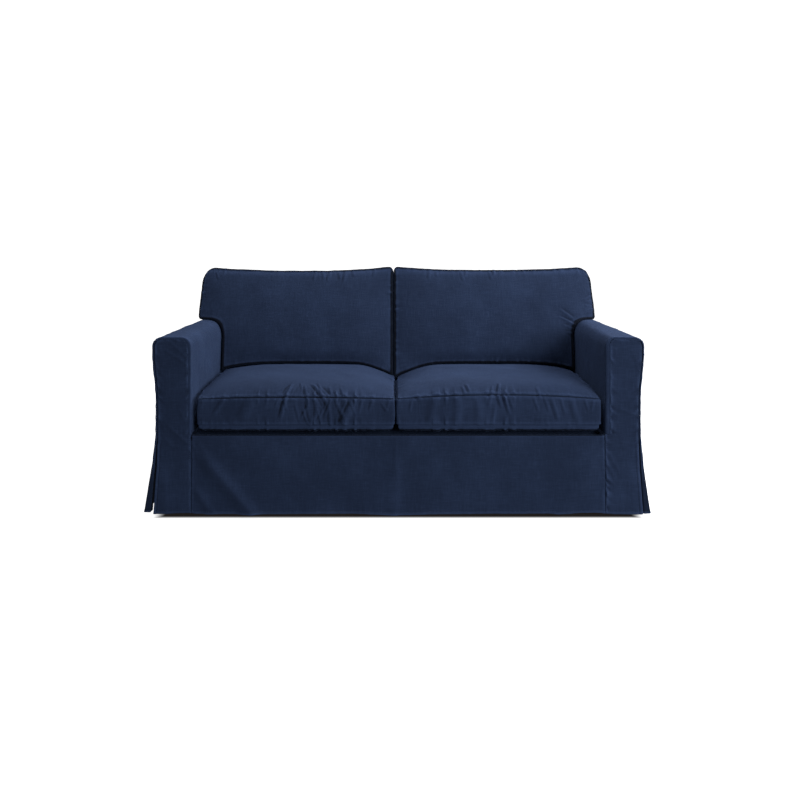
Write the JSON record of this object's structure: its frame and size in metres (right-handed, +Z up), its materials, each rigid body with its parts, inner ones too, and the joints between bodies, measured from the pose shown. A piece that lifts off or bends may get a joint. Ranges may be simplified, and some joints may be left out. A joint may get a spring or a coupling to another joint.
{
  "type": "fitted sofa slipcover with cushions",
  "caption": "Fitted skirted slipcover for a sofa with square track arms, open at the skirt's corners, with covered seat and T-shaped back cushions.",
  "frame": {"origin": "under the middle of the cover, level with the lowest point of the hem", "axes": "+X to the right as seen from the front, +Y to the back, +Z up; the front faces -Y"},
  "size_m": [1.8647, 1.0067, 0.8806],
  "materials": {
    "cover_cloth": "washed plain-weave cotton and linen, navy, matt",
    "cushion_cloth": "washed plain-weave cotton and linen, navy, matt, over a soft filling"
  },
  "bodies": {
    "root": {"seat_deck": "cover_cloth", "front_apron": "cover_cloth", "arm_front_left": "cover_cloth", "arm_front_right": "cover_cloth", "inside_arm_left": "cover_cloth", "inside_arm_right": "cover_cloth", "outside_arm_left": "cover_cloth", "outside_arm_right": "cover_cloth", "inside_back": "cover_cloth", "back_side_left": "cover_cloth", "back_side_right": "cover_cloth", "outside_back": "cover_cloth", "seat_cushion_left": "cushion_cloth", "seat_cushion_right": "cushion_cloth", "back_cushion_left": "cushion_cloth", "back_cushion_right": "cushion_cloth"}
  },
  "joints": []
}
